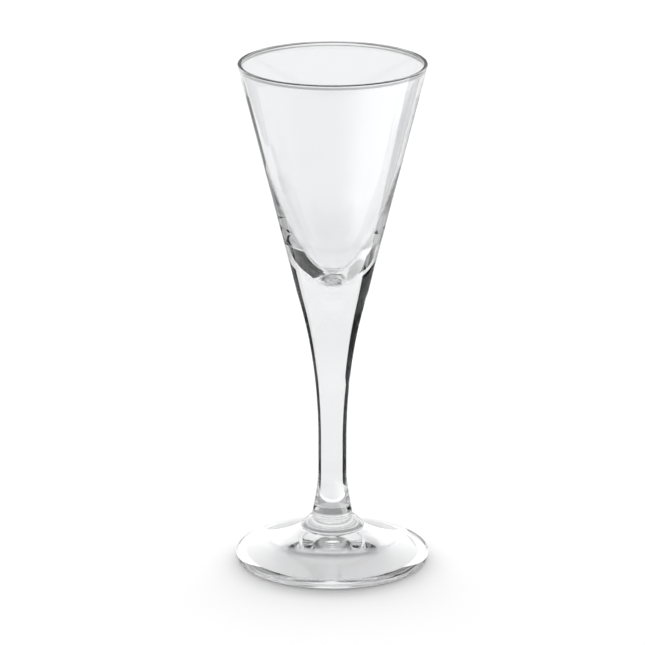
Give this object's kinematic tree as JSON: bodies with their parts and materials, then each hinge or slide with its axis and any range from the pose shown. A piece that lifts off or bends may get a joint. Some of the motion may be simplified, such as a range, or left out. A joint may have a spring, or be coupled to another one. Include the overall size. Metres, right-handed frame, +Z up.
{
  "type": "aquavit glass",
  "caption": "Tall stemmed aquavit glass of clear glass: straight conical bowl with a heavy rounded bottom, slender drawn stem with a flared collar, and a round foot with a hollow underside.",
  "frame": {"origin": "centre of the standing ring, on the table under the foot", "axes": "+Z up along the axis of revolution, from the foot to the rim; X and Y are free, since the glass is round"},
  "size_m": [0.0606, 0.0606, 0.16],
  "materials": {
    "clear_glass": "polished"
  },
  "bodies": {
    "root": {"bowl": "clear_glass", "stem": "clear_glass", "foot": "clear_glass"}
  },
  "joints": []
}
